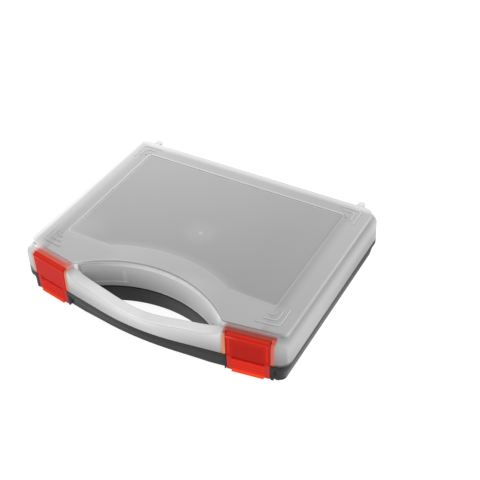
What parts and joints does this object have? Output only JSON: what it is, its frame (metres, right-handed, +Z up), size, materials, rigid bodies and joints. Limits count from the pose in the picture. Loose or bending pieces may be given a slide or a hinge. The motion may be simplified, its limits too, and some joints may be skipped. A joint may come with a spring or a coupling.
{
  "type": "compartment storage box",
  "caption": "Flat hinged-lid carry case in black and frosted plastic with a bowed front, swinging snap latches, a grip bar at a finger hole and lift-out dividers.",
  "frame": {"origin": "bottom centre of the closed case, on the plane its feet rest on", "axes": "+X to the right seen from the front, +Y from the grip bar to the hinges, +Z up"},
  "size_m": [0.26, 0.21, 0.05],
  "materials": {
    "base_plastic": "fine satin",
    "frosted_plastic": "frosted, translucent",
    "latch_plastic": "smooth",
    "pin_steel": "drawn wire",
    "divider_plastic": "fine satin"
  },
  "bodies": {
    "base": {"base_shell": "base_plastic", "hinge_pin_left": "pin_steel", "hinge_pin_right": "pin_steel"},
    "lid": {"lid_shell": "frosted_plastic", "latch_pin_left": "pin_steel", "latch_pin_right": "pin_steel"},
    "latch_left": {"latch_left": "latch_plastic"},
    "latch_right": {"latch_right": "latch_plastic"},
    "divider_long": {"divider_long": "divider_plastic"},
    "divider_rear_left": {"divider_rear_left": "divider_plastic"},
    "divider_rear_middle": {"divider_rear_middle": "divider_plastic"},
    "divider_rear_right": {"divider_rear_right": "divider_plastic"},
    "divider_front_left": {"divider_front_left": "divider_plastic"},
    "divider_front_right": {"divider_front_right": "divider_plastic"}
  },
  "joints": [
    {"name": "lid_hinge", "type": "hinge", "parent": "base", "child": "lid", "pos_m": [0, 0.1022, 0.021], "axis": [-1, 0, 0], "range_deg": [0, 115]},
    {"name": "latch_left_hinge", "type": "hinge", "parent": "lid", "child": "latch_left", "pos_m": [-0.09746, -0.08901, 0.0418], "axis": [-0.9874, 0.1582, 0], "range_deg": [0, 95]},
    {"name": "latch_right_hinge", "type": "hinge", "parent": "lid", "child": "latch_right", "pos_m": [0.09746, -0.08901, 0.0418], "axis": [-0.9874, -0.1582, 0], "range_deg": [0, 95]},
    {"name": "divider_long_lift", "type": "slide", "parent": "base", "child": "divider_long", "axis": [0, 0, 1], "range_m": [0, 0.02]},
    {"name": "divider_rear_left_lift", "type": "slide", "parent": "base", "child": "divider_rear_left", "axis": [0, 0, 1], "range_m": [0, 0.02]},
    {"name": "divider_rear_middle_lift", "type": "slide", "parent": "base", "child": "divider_rear_middle", "axis": [0, 0, 1], "range_m": [0, 0.02]},
    {"name": "divider_rear_right_lift", "type": "slide", "parent": "base", "child": "divider_rear_right", "axis": [0, 0, 1], "range_m": [0, 0.02]},
    {"name": "divider_front_left_lift", "type": "slide", "parent": "base", "child": "divider_front_left", "axis": [0, 0, 1], "range_m": [0, 0.02]},
    {"name": "divider_front_right_lift", "type": "slide", "parent": "base", "child": "divider_front_right", "axis": [0, 0, 1], "range_m": [0, 0.02]}
  ]
}
